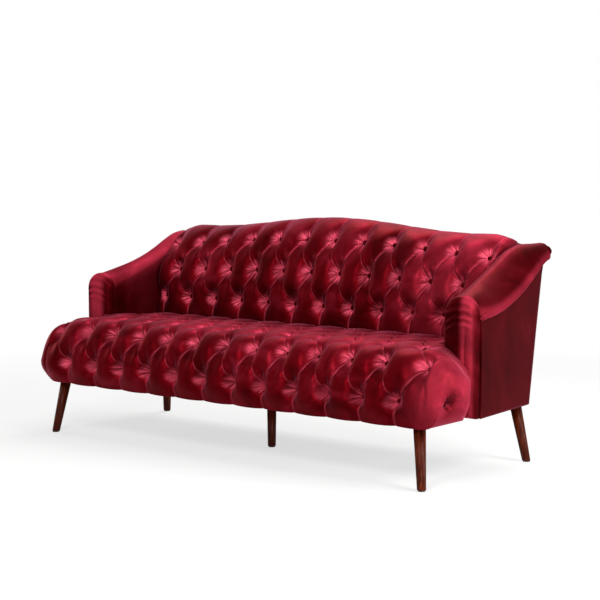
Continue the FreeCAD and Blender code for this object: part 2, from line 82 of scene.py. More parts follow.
def addNode(tree, kind, **inputs):
    node = tree.nodes.new("ShaderNode" + kind)
    for label, value in inputs.items():
        node.inputs[label].default_value = value
    return node


def objectPoints(tree, scale=(1, 1, 1)):
    place = addNode(tree, "TexCoord")
    mapping = addNode(tree, "Mapping", Scale=scale)
    tree.links.new(place.outputs["Object"], mapping.inputs["Vector"])
    return mapping.outputs["Vector"]


def meshMark(tree, name):
    # What the mesh keeps on its points under a name
    kept = addNode(tree, "Attribute")
    kept.attribute_name = name
    return kept.outputs


def addNoise(tree, points, **inputs):
    noise = addNode(tree, "TexNoise", **inputs)
    tree.links.new(points, noise.inputs["Vector"])
    return noise.outputs["Fac"]


def addBump(tree, height, strength, distance, under=None):
    bump = addNode(tree, "Bump", Strength=strength, Distance=distance)
    tree.links.new(height, bump.inputs["Height"])
    if under is not None:
        tree.links.new(under, bump.inputs["Normal"])
    return bump.outputs["Normal"]


def mapRange(tree, value, start=(0, 1), end=(0, 1), kind="LINEAR"):
    # One span of numbers laid onto another
    spans = {"From Min": start[0], "From Max": start[1], "To Min": end[0], "To Max": end[1]}
    node = addNode(tree, "MapRange", **spans)
    node.interpolation_type = kind
    tree.links.new(value, node.inputs["Value"])
    return node.outputs["Result"]


def maths(tree, kind, first, second=None):
    node = addNode(tree, "Math")
    node.operation = kind
    for socket, value in zip(node.inputs, (first, second)):
        if isinstance(value, (int, float)):
            socket.default_value = value
        elif value is not None:
            tree.links.new(value, socket)
    return node.outputs["Value"]


def mixColour(tree, factor, first, second):
    # Second colour laid over the first by a share
    mix = addNode(tree, "Mix")
    mix.data_type = "RGBA"
    tree.links.new(factor, mix.inputs[0])
    tree.links.new(first, mix.inputs[6])
    mix.inputs[7].default_value = (*second, 1)
    return mix.outputs[2]


def colourRamp(tree, factor, stops):
    ramp = addNode(tree, "ValToRGB")
    elements = ramp.color_ramp.elements
    while len(elements) < len(stops):
        elements.new(0.5)
    for element, (at, colour) in zip(elements, stops):
        element.position = at
        element.color = (*colour, 1)
    tree.links.new(factor, ramp.inputs["Fac"])
    return ramp.outputs["Color"]


def noiseFinish(tree, shader, noise, stops, bump):
    # Colour and fine relief from one noise
    tree.links.new(colourRamp(tree, noise, stops), shader.inputs["Base Color"])
    tree.links.new(addBump(tree, noise, *bump), shader.inputs["Normal"])


# Velvet: colours of the blotches, painted highlight and painted shade, gloss, sheen, pile, creases at the
# buttons with painted highlight streaks, painted highlight lines along the pleats
cloth = {
    "deep": (0.043, 0.0003, 0.0009), "mid": (0.09, 0.0009, 0.0029), "brushed": (0.158, 0.0065, 0.0144),
    "levels": {"deep": 0.34, "mid": 0.52, "brushed": 0.72},
    "lit": (0.67, 0.08, 0.136), "nap": (0.4, 0.026, 0.05), "shade": (0.02, 0.0002, 0.0006),
    "rough": (0.50, 0.32), "paintedLightRough": 0.14, "lustre": 0.55,
    "gloss": 0.03, "glossTint": (1.0, 0.3, 0.48), "sheenRoughness": 0.3, "sheenTint": (1.0, 0.22, 0.36),
    "pile": 1400, "pileBump": (0.05, 0.001),
    "fanStreaks": 3.8, "fanHeart": 0.0005, "fanDrift": (5, 3, 4), "fanEdge": (0.3, 0.7), "fanHighlightStrength": 1.25,
    "fanBump": (0.55, 0.004), "pleatLine": (0.0045, 0.0012), "pleatHighlightStrength": 0.14,
}
# Copies of the one velvet: the arms and buttons, and the flat panels, are made darker by a painted shade
# factor
velvetKinds = {
    "crimsonTufted": {"blotch": 6, "tone": 1, "sheen": 0.29, "tufted": True},
    "crimsonVelvetPaintedShade": {"blotch": 5, "tone": 0.62, "sheen": 0.16, "tufted": False},
    "crimsonVelvetFlatPaintedShade": {"blotch": 3.2, "tone": 0.5, "sheen": 0.1, "tufted": False},
}


def paintedFanHighlight(tree):
    # Painted highlight streaks that run out from each button, by the place kept on the mesh
    parts = addNode(tree, "SeparateXYZ")
    tree.links.new(meshMark(tree, "fan")["Vector"], parts.inputs["Vector"])
    x, y, fade = (parts.outputs[axis] for axis in "XYZ")
    squares = maths(tree, "ADD", maths(tree, "MULTIPLY", x, x), maths(tree, "MULTIPLY", y, y))
    reach = maths(tree, "MAXIMUM", maths(tree, "SQRT", squares), cloth["fanHeart"])
    scale = maths(tree, "DIVIDE", cloth["fanStreaks"], reach)
    drift = addNode(tree, "SeparateXYZ")
    tree.links.new(objectPoints(tree, cloth["fanDrift"]), drift.inputs["Vector"])
    spot = addNode(tree, "CombineXYZ")
    tree.links.new(maths(tree, "MULTIPLY", x, scale), spot.inputs["X"])
    tree.links.new(maths(tree, "MULTIPLY", y, scale), spot.inputs["Y"])
    tree.links.new(maths(tree, "ADD", drift.outputs["X"], drift.outputs["Z"]), spot.inputs["Z"])
    streaks = addNoise(tree, spot.outputs["Vector"], Scale=1.0, Detail=1.5, Roughness=0.5)
    return maths(tree, "MULTIPLY", mapRange(tree, streaks, cloth["fanEdge"]), fade)


def paintedPleatHighlight(tree):
    # Thin painted highlight line along each pleat, by the distance kept on the mesh
    return mapRange(tree, meshMark(tree, "pleat")["Fac"], cloth["pleatLine"], kind="SMOOTHSTEP")


def velvetMaterial(name):
    kind = velvetKinds[name]
    material, tree, shader = newMaterial(name, {
        "Metallic": cloth["lustre"], "Specular IOR Level": cloth["gloss"],
        "Specular Tint": (*cloth["glossTint"], 1), "Sheen Weight": kind["sheen"],
        "Sheen Roughness": cloth["sheenRoughness"], "Sheen Tint": (*cloth["sheenTint"], 1)})
    points = objectPoints(tree)
    blotches = addNoise(tree, points, Scale=kind["blotch"], Detail=5, Roughness=0.6, Distortion=0.9)
    # Blotch colours, darkened by the painted shade factor of this copy
    stops = [(at, tuple(kind["tone"] * value for value in cloth[look]))
             for look, at in cloth["levels"].items()]
    colour = colourRamp(tree, blotches, stops)
    rough = mapRange(tree, blotches, end=cloth["rough"])
    pile = addNoise(tree, points, Scale=cloth["pile"], Detail=2)
    bump = addBump(tree, pile, *cloth["pileBump"])
    # Painted light kept on the mesh: above zero a lighter painted highlight that is also duller, below zero
    # darker painted shade
    nap = meshMark(tree, "nap")["Fac"]
    colour = mixColour(tree, maths(tree, "MULTIPLY", nap, blotches), colour, cloth["nap"])
    colour = mixColour(tree, maths(tree, "MULTIPLY", nap, -1), colour, cloth["shade"])
    dull = maths(tree, "MULTIPLY", maths(tree, "MAXIMUM", nap, 0), cloth["paintedLightRough"])
    rough = maths(tree, "ADD", rough, dull)
    if kind["tufted"]:
        fan = paintedFanHighlight(tree)
        # Painted highlight colour laid on along the fan streaks at the buttons and the pleat lines
        line = maths(tree, "MULTIPLY", paintedPleatHighlight(tree), cloth["pleatHighlightStrength"])
        lit = maths(tree, "MAXIMUM", maths(tree, "MULTIPLY", fan, cloth["fanHighlightStrength"]), line)
        colour = mixColour(tree, lit, colour, cloth["lit"])
        bump = addBump(tree, fan, *cloth["fanBump"], bump)
    for label, value in (("Base Color", colour), ("Roughness", rough), ("Normal", bump)):
        tree.links.new(value, shader.inputs[label])
    return material


wood = {
    "dark": (0.017, 0.0028, 0.0009), "mid": (0.052, 0.0062, 0.0017), "light": (0.142, 0.022, 0.0045),
    "levels": {"dark": 0.3, "mid": 0.5, "light": 0.7}, "grain": (70, 70, 5), "bump": (0.12, 0.001),
    "rough": 0.38, "gloss": 0.06, "coat": 0.02, "coatRough": 0.22,
}


def walnutMaterial():
    material, tree, shader = newMaterial("walnutLacquer", {
        "Roughness": wood["rough"], "Specular IOR Level": wood["gloss"],
        "Coat Weight": wood["coat"], "Coat Roughness": wood["coatRough"]})
    points = objectPoints(tree, wood["grain"])
    grain = addNoise(tree, points, Scale=1.0, Detail=6, Roughness=0.65, Distortion=1.2)
    stops = [(at, wood[look]) for look, at in wood["levels"].items()]
    noiseFinish(tree, shader, grain, stops, wood["bump"])
    return material


# Finishes of what is hidden
plainLevels, plainBump = (0.35, 0.65), (0.15, 0.0005)
plainLooks = {  # by slot: name, dark and light colour, scale of the noise, roughness, metal
    "frame_timber": ("frameTimber", (0.36, 0.22, 0.11), (0.52, 0.35, 0.19), (30, 3, 30), 0.7, 0),
    "webbing": ("juteWebbing", (0.16, 0.12, 0.08), (0.3, 0.24, 0.17), (300, 300, 300), 0.9, 0),
    "felt": ("greyFelt", (0.24, 0.23, 0.21), (0.36, 0.34, 0.31), (200, 200, 200), 0.95, 0),
    "foam": ("paleFoam", (0.62, 0.53, 0.33), (0.75, 0.67, 0.46), (250, 250, 250), 0.95, 0),
    "black_lining": ("blackLining", (0.008, 0.008, 0.008), (0.03, 0.03, 0.03), (500, 500, 500), 0.9, 0),
    "plated_steel": ("platedSteel", (0.42, 0.42, 0.42), (0.58, 0.58, 0.57), (90, 90, 90), 0.35, 1),
    "glide_plastic": ("glidePlastic", (0.012, 0.01, 0.009), (0.025, 0.021, 0.018), (400, 400, 400), 0.55, 0),
}


def plainMaterial(name, dark, light, scale, rough, metal):
    material, tree, shader = newMaterial(name, {"Roughness": rough, "Metallic": metal})
    noise = addNoise(tree, objectPoints(tree, scale), Scale=1.0, Detail=4, Roughness=0.6)
    noiseFinish(tree, shader, noise, list(zip(plainLevels, (dark, light))), plainBump)
    return material


# Mesh helpers
def gridPiece(name, points, material, marks=None, lattice=None):
    # Grid bent to an array of (columns, rows, 3) points, joined where they meet
    columns, rows = points.shape[:2]
    bm = bmesh.new()
    bmesh.ops.create_grid(bm, x_segments=columns - 1, y_segments=rows - 1, size=0.5)
    mesh = bpy.data.meshes.new(name)
    bm.to_mesh(mesh)
    flat = np.empty(len(mesh.vertices) * 3)
    mesh.vertices.foreach_get("co", flat)
    flat = flat.reshape(-1, 3)
    i = np.rint((flat[:, 0] + 0.5) * (columns - 1)).astype(int)
    j = np.rint((flat[:, 1] + 0.5) * (rows - 1)).astype(int)
    mesh.vertices.foreach_set("co", points[i, j].ravel())
    for label, values in (marks or {}).items():
        kind, field = ("FLOAT_VECTOR", "vector") if values.ndim == 3 else ("FLOAT", "value")
        mesh.attributes.new(label, kind, "POINT").data.foreach_set(field, values[i, j].ravel())
    bm.clear()
    bm.from_mesh(mesh)
    if lattice is not None:
        splitAlongPleats(bm, i, j, lattice)
    bmesh.ops.remove_doubles(bm, verts=bm.verts, dist=0.00002)
    bmesh.ops.recalc_face_normals(bm, faces=bm.faces)
    bm.to_mesh(mesh)
    bm.free()
    return addPiece(name, mesh, material)


def splitAlongPleats(bm, i, j, lattice):
    # Each square is split the way of the pleat next to it, so that folds stay straight
    a, b = lattice
    faces = list(bm.faces)
    spots = np.array([[vert.index for vert in face.verts] for face in faces])
    u, v = a[i[spots]].mean(1), b[j[spots]].mean(1)
    toRising, toFalling = (u - v - 1) / 2, (u + v + 1) / 2
    rising = np.abs(toRising - np.rint(toRising)) < np.abs(toFalling - np.rint(toFalling))
    # Whether a square's first corner is on its rising diagonal
    first = spots[:, 0]
    onRising = i[first] - i[spots].min(1) == j[first] - j[spots].min(1)
    for chosen, method in ((rising == onRising, "FIXED"), (rising != onRising, "ALTERNATE")):
        picked = [faces[index] for index in np.flatnonzero(chosen)]
        bmesh.ops.triangulate(bm, faces=picked, quad_method=method)


def addPiece(name, mesh, material):
    for polygon in mesh.polygons:
        polygon.use_smooth = True
    piece = bpy.data.objects.new(name, mesh)
    scene.collection.objects.link(piece)
    mesh.materials.append(material)
    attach(piece, "root")
    return piece


def finishedMesh(name, bm):
    mesh = bpy.data.meshes.new(name)
    bm.to_mesh(mesh)
    bm.free()
    return mesh


def capped(points):
    # Rings with each end drawn in to its middle
    size = points.shape[1]
    first, last = (end.mean(1, keepdims=True).repeat(size, 1) for end in (points[:1], points[-1:]))
    return np.concatenate([first, points, last], 0)


def smoothRows(at, keys):
    # Smooth curve through rows of numbers at whole positions
    keys = np.asarray(keys, float)
    at = np.clip(np.asarray(at, float), 0, len(keys) - 1)
    k = np.minimum(at.astype(int), len(keys) - 2)
    t = (at - k)[..., None]
    ends = np.vstack([2 * keys[0] - keys[1], keys, 2 * keys[-1] - keys[-2]])
    a, b, c, d = ends[k], ends[k + 1], ends[k + 2], ends[k + 3]
    return 0.5 * (2 * b + (c - a) * t + (2 * a - 5 * b + 4 * c - d) * t ** 2
                  + (3 * b - a - 3 * c + d) * t ** 3)


def ease(low, high, at):
    t = np.clip((at - low) / (high - low), 0, 1)
    return t * t * (3 - 2 * t)


def ripple(seed):
    # Fixed pattern of numbers between 0 and 1
    value = np.sin(np.asarray(seed, float) * 12.9898 + 4.1414) * 43758.5453
    return value - np.floor(value)


# Tufting of seat and back: domes, pleats with their folds, creases at each button, and where the painted
# highlight streaks and lines fade
tuft = {
    "steps": 28, "pleatLevel": 0.74, "pit": 0.62, "sharp": 0.36, "edgeSharp": 0.3, "sag": 0.10,
    "tuck": 2.6 * mm, "tuckWidth": 5 * mm, "tuckFree": (8 * mm, 26 * mm),
    "noPleat": 0.05, "noLine": 0.02, "lineFade": (0.1, 0.5),
    "fanCount": 11, "fanSecond": 7, "fanPeak": 0.7, "fanDepth": 2.2 * mm, "fanReach": 24 * mm,
    "fanStart": (4 * mm, 13 * mm), "fanFade": (6 * mm, 38 * mm),
}


def tuftHeight(a, b, rows, lowLevel, highLevel):
    # Share of the tuft depth at half pitches a and rows b; buttons lie where a + b is odd
    inside = np.clip(b, 0, rows - 1)
    p = (a + inside + 1) / 2
    q = (a - inside - 1) / 2
    valley = (1 - (np.cos(np.pi * p) * np.cos(np.pi * q)) ** 2) ** tuft["pit"]
    dome = np.abs(np.sin(np.pi * p) * np.sin(np.pi * q)) ** tuft["sharp"]
    height = tuft["pleatLevel"] * valley + (1 - tuft["pleatLevel"]) * dome
    # Past the outer rows the pleats run straight on and flatten out
    straight = np.abs(np.sin(np.pi * p)) ** tuft["edgeSharp"]
    for past, level in ((np.clip(-b, 0, 1), lowLevel), (np.clip(b - rows + 1, 0, 1), highLevel)):
        share = 1 - (1 - past) ** 2
        height = height + (level + (1 - level) * straight - height) * share
    return height


def sagging(a, b):
    # Droop in rows of what lies between the buttons
    p, q = (a + b + 1) / 2, (a - b - 1) / 2
    return tuft["sag"] * (1 - (np.cos(np.pi * p) * np.cos(np.pi * q)) ** 2)


def besideButton(a, b, pitch, gap):
    # Way from the nearest button in metres, and a number of that button
    base = np.rint(b)
    odd = np.mod(base + 1, 2)
    column = 2 * np.rint((a - odd) / 2) + odd
    other = np.where(b > base, base + 1, base - 1)
    otherOdd = np.mod(other + 1, 2)
    otherColumn = 2 * np.rint((a - otherOdd) / 2) + otherOdd
    x1, y1 = (a - column) * pitch / 2, (b - base) * gap
    x2, y2 = (a - otherColumn) * pitch / 2, (b - other) * gap
    nearer = np.hypot(x2, y2) < np.hypot(x1, y1)
    seed = np.where(nearer, otherColumn * 7.3 + other * 3.1, column * 7.3 + base * 3.1)
    return np.where(nearer, x2, x1), np.where(nearer, y2, y1), seed


def fanWrinkles(a, b, rows, pitch, gap):
    # Creases at each button, in metres outward, and the places and fade of the painted highlight streaks
    x, y, seed = besideButton(a, b, pitch, gap)
    r, turn = np.hypot(x, y), np.arctan2(y, x)
    phase = ripple(seed) * 6.28
    wave = 1 - 2 * np.abs(np.sin(tuft["fanCount"] / 2 * turn + phase)) ** tuft["fanPeak"]
    wave = wave + 0.5 * np.cos(tuft["fanSecond"] * turn + 2 * phase)
    reach = tuft["fanReach"] * (0.8 + 0.5 * ripple(seed + 5) + 0.35 * np.cos(3 * turn + 3 * phase))
    strength = ease(*tuft["fanStart"], r) * np.exp(-(r / reach) ** 2)
    kept = (b > -0.5) & (b < rows - 0.5)
    fade = np.where(kept, 1 - ease(*tuft["fanFade"], r), 0)
    return np.where(kept, tuft["fanDepth"] * wave * strength, 0), np.stack([x, y, fade], -1)


def pleatTucks(a, b, rows, pitch, gap, up):
    # Fold of each pleat, raised above and sunk below it, and the distance to it
    inside = np.clip(b, 0, rows - 1)
    p, q = (a + inside + 1) / 2, (a - inside - 1) / 2
    spacing = pitch * gap / math.hypot(pitch / 2, gap)
    dp, dq = (p - np.rint(p)) * spacing, (q - np.rint(q)) * spacing
    near = np.where(np.abs(dp) < np.abs(dq), dp * up, -dq * up)
    side = np.where((b < 0) | (b > rows - 1), dp, near)
    fold = near / tuft["tuckWidth"] * np.exp(0.5 - 0.5 * (near / tuft["tuckWidth"]) ** 2)
    x, y = besideButton(a, b, pitch, gap)[:2]
    free = ease(*tuft["tuckFree"], np.hypot(x, y)) * ((b > 0) & (b < rows - 1))
    return tuft["tuck"] * fold * free, np.abs(side)


def tuftedCover(look, x, b, up, plain, cut):
    # Depth and height of a cover, plain and cut back at its ends, and what its velvet needs
    pitch, gap, count = look["pitch"], look["gap"], len(look["buttons"])
    aa, bb = np.meshgrid(x / (pitch / 2), b, indexing="ij")
    sagIn, sagOut = look["sagRows"]
    sag = sagging(aa, bb) * ease(*sagIn, bb) * (1 - ease(*sagOut, bb))
    rows = smoothRows(bb - up * sag + 1, look["rows"])
    dip, way, depth = rows[..., 0:2] * mm, rows[..., 2:4], rows[..., 4] * mm
    way = way / np.linalg.norm(way, axis=-1)[..., None]
    height = tuftHeight(aa, bb, count, *look["edgeLevels"])
    height = height + (1 - height) * plain
    fan, place = fanWrinkles(aa, bb, count, pitch, gap)
    tuck, line = pleatTucks(aa, bb, count, pitch, gap, up)
    out = depth * height + (fan + tuck) * (1 - plain) - cut
    place[..., 2] *= 1 - plain
    line = line + tuft["noLine"] * ease(*tuft["lineFade"], plain)
    return dip[..., 0] + way[..., 0] * out, dip[..., 1] + way[..., 1] * out, place, line


def innerRows(look, count):
    # Depth and height of the inside of a cover, back along its firm core
    inner = np.array(look["inner"], float) * mm
    return [np.repeat(inner[None, :, axis], count, 0) for axis in (0, 1)]


def coverMarks(shape, place, line):
    # What the velvet needs on a cover whose first rows are tufted: fan places, pleat distances for the
    # painted highlights, and painted light
    fan, pleat = np.zeros((*shape, 3)), np.full(shape, tuft["noPleat"])
    fan[:len(place), :place.shape[1]] = place
    pleat[:len(line), :line.shape[1]] = line
    return {"fan": fan, "pleat": pleat, "nap": np.zeros(shape)}


def latticeRows(b, size):
    # Row places round a cover, past the last row where it isn't tufted
    return np.concatenate([b, np.full(size - len(b), 5.5)])


# Seat pad, rows from the back of the seat to its bottom edge: dip y, z, outward way y, z, depth
seat = {
    "rows": [(160, 440, 0.15, 1, 18), (40, 442, 0.15, 1, 20), (-80, 443, 0, 1, 23), (-198, 443, -0.08, 1, 26),
             (-312, 402, -0.75, 0.66, 56), (-345, 288, -1, 0.06, 70), (-350, 209, -1, 0, 28)],
    "buttons": (9, 10, 11, 12, 11),  # last half pitch with a button, row by row
    "pitch": 143.6 * mm, "gap": 118 * mm, "first": -0.62, "rearSteps": 20, "lowSteps": 26,
    "edgeLevels": (0.7, 0.8), "sagRows": ((1.5, 2.6), (3.6, 4.4)), "halfPitches": 12,
    "half": 862 * mm, "plainFade": 60 * mm, "reach": 110 * mm,
    "bottom": 209 * mm, "scallop": 4 * mm, "scallopRows": (4.2, 5), "scallopShape": 0.6,
    # Firm core, which the inside of the pad follows out to where the ears are solid
    "inner": [(-346, 205), (-352, 214), (-360, 266), (-331, 292), (-331, 360), (-262, 437), (-90, 438),
              (40, 433), (119, 426)],
    "solidFrom": 885 * mm, "solidStart": 0.05, "coreRoom": 14 * mm, "coreFall": 1.2,
    # Ears in front of the arms: fall at x, rounded heel of the back wall
    "bodyHalf": 801 * mm, "earHalf": 972 * mm, "earBack": -143 * mm, "earRound": 76 * mm, "wallShape": 1.5,
    "earFall": [(815, 0), (860, 22), (890, 30), (910, 40), (940, 50), (970, 50)], "fallFrom": -242 * mm,
    "heel": 46 * mm, "heelPlaces": (886 * mm, 930 * mm),
    # Rounding of the ends, the shift of the last columns and the end faces
    "endSteps": 34, "capSteps": 40, "endTurn": 72, "endDome": 12 * mm,
    "endShift": 24 * mm, "shiftPlaces": (770 * mm, 862 * mm, 958 * mm),
    "endRounds": {"top": 150, "nose": 95, "front": 60, "low": 80}, "roundRows": (2.2, 3, 4, 5),
    "roundPlaces": (790 * mm, 978 * mm), "lowFrom": 886 * mm, "lowShare": 0.7,
    # Button on each end, its dimple, creases and painted highlight fan
    "endFrom": 890 * mm, "endButton": (-314, 292), "endDent": 36 * mm, "dentWidth": 22 * mm, "dentShape": 1.3,
    "crease": 4.4 * mm, "creaseCount": 11, "creaseStart": (5 * mm, 14 * mm), "creaseReach": 34 * mm,
    "endFan": 0.12, "endFanReach": 60 * mm, "endFanFade": (6 * mm, 50 * mm),
    # Painted light: painted highlight on the right-hand ear and the top, painted shade round the end buttons
    "paintedLightPlaces": (800 * mm, 930 * mm), "paintedLightRows": ((2, 3.6), (1.4, 0.85)),
    "topPaintedLight": 0.35, "topRows": (2.3, 3.2),
    "paintedShadeDepth": 1.9, "darkShift": 10 * mm, "darkSquash": 0.8, "darkReach": 24 * mm,
}


def seatEnd(x):
    # Outward shift of the last columns and share of the end rounding
    side = np.abs(x)
    start, full, stop = seat["shiftPlaces"]
    shift = seat["endShift"] * ease(start, full, side) * (1 - ease(full, stop, side))
    low, high = seat["roundPlaces"]
    share = np.clip((side + shift - low) / (high - low), 0, 1)
    return np.sign(x) * shift, 1 - np.sqrt(1 - share ** 2)


def earFall(x):
    # Fall of the ears along the arm fronts
    places, falls = zip(*seat["earFall"])
    return np.interp(np.abs(x) / mm, places, falls) * mm


def seatColumns():
    # Place along the width and share of the end face
    step = seat["pitch"] / 2 / tuft["steps"]
    body = np.arange(seat["halfPitches"] * tuft["steps"] + 1) * step
    turns = np.linspace(0, math.radians(seat["endTurn"]), seat["endSteps"] + 1)[1:]
    ends = body[-1] + seat["reach"] * np.sin(turns)
    caps = np.linspace(1, 0, seat["capSteps"] + 1)[1:]
    x = np.concatenate([body, ends, np.full(len(caps), ends[-1])])
    keep = np.concatenate([np.ones(len(body) + len(ends)), caps])
    return np.concatenate([-x[:0:-1], x]), np.concatenate([keep[:0:-1], keep])


def seatSurface(x, b, shrink):
    # Tufted top, nose and front of the seat, scallops of its hem, what its velvet needs
    plain = ease(seat["half"], seat["half"] + seat["plainFade"], np.abs(x))[:, None]
    rounds = seat["endRounds"]
    cuts = [rounds["top"], rounds["nose"], rounds["front"], seat["lowShare"] * rounds["low"]]
    cut = np.interp(b, seat["roundRows"], cuts) * mm
    y, z, place, line = tuftedCover(seat, x, b, -1, plain, cut * shrink[:, None])
    a = (x / (seat["pitch"] / 2))[:, None]
    hem = seat["scallop"] * np.abs(np.cos(np.pi * a / 2)) ** seat["scallopShape"]
    return y, z, hem * ease(*seat["scallopRows"], b) * (1 - plain), place, line


def turnEarsDown(x, y, z, base):
    # What lies behind the arm fronts turns down into the back wall of each ear
    size = seat["earRound"]
    past = np.clip(np.abs(x) - (seat["earHalf"] - size), 0, size)
    wall = seat["earBack"] - size + np.sqrt(size ** 2 - past ** 2)
    for i in np.flatnonzero(np.abs(x) > seat["bodyHalf"]):
        first = int(np.argmax(y[i] <= wall[i]))
        drop = 1 - np.arange(first) / max(first, 1)
        z[i, :first] = z[i, first] - (z[i, first] - base[i]) * drop ** seat["wallShape"]
        under = np.clip(1 - (z[i, :first] - base[i]) / seat["heel"], 0, 1)
        turned = seat["heel"] * (1 - np.sqrt(1 - under ** 2))
        y[i, :first] = wall[i] - turned * ease(*seat["heelPlaces"], np.abs(x[i]))
    return wall[:, None]


def seatInside(x, y, base, wall, fall):
    # Inside of the pad, which follows the core or is solid
    yin, zin = innerRows(seat, len(x))
    ear = (np.abs(x) > seat["bodyHalf"])[:, None]
    solid = (np.abs(x) > seat["solidFrom"])[:, None]
    yin = np.where(ear, np.minimum(yin, wall), yin)
    rear = ear & (yin > seat["earBack"] - seat["coreRoom"])
    zin = np.where(rear, zin - seat["coreFall"] * fall, zin)
    share = np.linspace(seat["solidStart"], 1, yin.shape[1])
    yin = np.where(solid, y[:, -1:] + (y[:, :1] - y[:, -1:]) * share, yin)
    return yin, np.where(solid, base, zin)


def seatPoints():
    x, keep = seatColumns()
    shift, shrink = seatEnd(x)
    steps, last = tuft["steps"], len(seat["buttons"]) - 1
    b = np.concatenate([np.linspace(seat["first"], 0, seat["rearSteps"])[:-1],
                        np.arange(last * steps) / steps, np.linspace(last, last + 1, seat["lowSteps"])])
    y, z, hem, place, line = seatSurface(x, b, shrink)
    # Under edge of each end and fall of the ear toward the arm
    low = seat["endRounds"]["low"] * mm
    lift = np.clip((np.abs(x) - seat["lowFrom"]) / low, 0, 1)
    base = seat["bottom"] + (low * (1 - np.sqrt(1 - lift ** 2)))[:, None]
    fall = earFall(x)[:, None]
    z = z - fall * ease(seat["fallFrom"], seat["earBack"], y)
    z = np.maximum(z, base) - hem
    wall = turnEarsDown(x, y, z, base)
    yin, zin = seatInside(x, y, base, wall, fall)
    y = np.concatenate([y, yin, y[:, :1]], 1)
    z = np.concatenate([z, zin, z[:, :1]], 1)
    # Ends close toward the middle of the end face
    yc, zc = y.mean(1, keepdims=True), z.mean(1, keepdims=True)
    y = yc + (y - yc) * keep[:, None]
    z = zc + (z - zc) * keep[:, None]
    wide = x + shift + np.sign(x) * seat["endDome"] * (1 - keep ** 2)
    points = np.stack([np.repeat(wide[:, None], y.shape[1], 1), y, z], 2)
    # Dimple of the button on each end face
    buttonY, buttonZ = seat["endButton"]
    side = np.abs(points[:, :, 0]) > seat["endFrom"]
    dy, dz = points[:, :, 1] - buttonY * mm, points[:, :, 2] - buttonZ * mm
    r, turn = np.hypot(dy, dz), np.arctan2(dz, dy)
    dent = seat["endDent"] * np.exp(-(r / seat["dentWidth"]) ** seat["dentShape"])
    crease = seat["crease"] * np.cos(seat["creaseCount"] * turn + 1)
    dent += crease * ease(*seat["creaseStart"], r) * np.exp(-(r / seat["creaseReach"]) ** 2)
    points[:, :, 0] -= np.where(side, np.sign(points[:, :, 0]) * dent, 0)
    marks = coverMarks(points.shape[:2], place, line)
    paintSeatLight(marks, x, b, side, dy, dz)
    return points, marks, (x / (seat["pitch"] / 2), latticeRows(b, points.shape[1]))


def paintSeatLight(marks, x, b, side, dy, dz):
    # Painted highlight on the right-hand ear and the top rows, painted shade beside each end button, painted
    # highlight streaks round it
    nap, tufted = marks["nap"], slice(0, len(b))
    nap += ease(*seat["paintedLightPlaces"], x)[:, None]
    nap[:, tufted] *= np.interp(b, *seat["paintedLightRows"])
    top = seat["topPaintedLight"] * (1 - ease(*seat["topRows"], b))
    nap[:, tufted] = np.maximum(nap[:, tufted], top)
    away = np.hypot(dy - seat["darkShift"], seat["darkSquash"] * dz) / seat["darkReach"]
    nap -= np.where(side, seat["paintedShadeDepth"] * np.exp(-away ** 2), 0)
    r = np.hypot(dy, dz)
    near = side & (r < seat["endFanReach"])
    fade = seat["endFan"] - seat["endFan"] * ease(*seat["endFanFade"], r)
    marks["fan"][near] = np.stack([dy, dz, fade], 2)[near]


def addSeatPad(velvet):
    points, marks, lattice = seatPoints()
    piece = gridPiece("seatCover", points, velvet, marks, lattice)
    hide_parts("seat_pad")
    print("seat cover", len(piece.data.polygons))


# Firm core of the seat in side view, following the ears of the cover
core = {
    "outline": [(-329.7, 359.7), (-262, 435.7), (-90, 436.7), (40, 431.7), (118.4, 425.2)],
    "top": 436.7, "earBack": -143, "earRoom": 14, "body": 800.7, "ears": [800.7, 805, 830, 850, 870, 883.6],
}


def addSeatCore(foam):
    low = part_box("seat_foam")[0][2] / mm
    outline = np.array(core["outline"])
    outline = np.vstack([[outline[0][0], low], outline, [outline[-1][0], low], [outline[0][0], low]])
    ears, body = core["ears"], core["body"]
    places = [(-x, True) for x in ears[::-1]] + [(-body, False), (body, False)] + [(x, True) for x in ears]
    rings = []
    for x, onEar in places:
        ring = np.stack([np.full(len(outline), x), outline[:, 0], outline[:, 1]], 1)
        if onEar:
            ring[:, 1] = np.minimum(ring[:, 1], core["earBack"])
            rear = (ring[:, 1] > core["earBack"] - core["earRoom"]) & (ring[:, 2] > low + 1)
            fall = seat["coreFall"] * earFall(np.array([x * mm])) / mm
            ring[:, 2] = np.where(rear, core["top"] - fall, ring[:, 2])
        rings.append(ring * mm)
    piece = gridPiece("seatCore", capped(np.array(rings)), foam)
    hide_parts("seat_foam")
    print("seat core made")


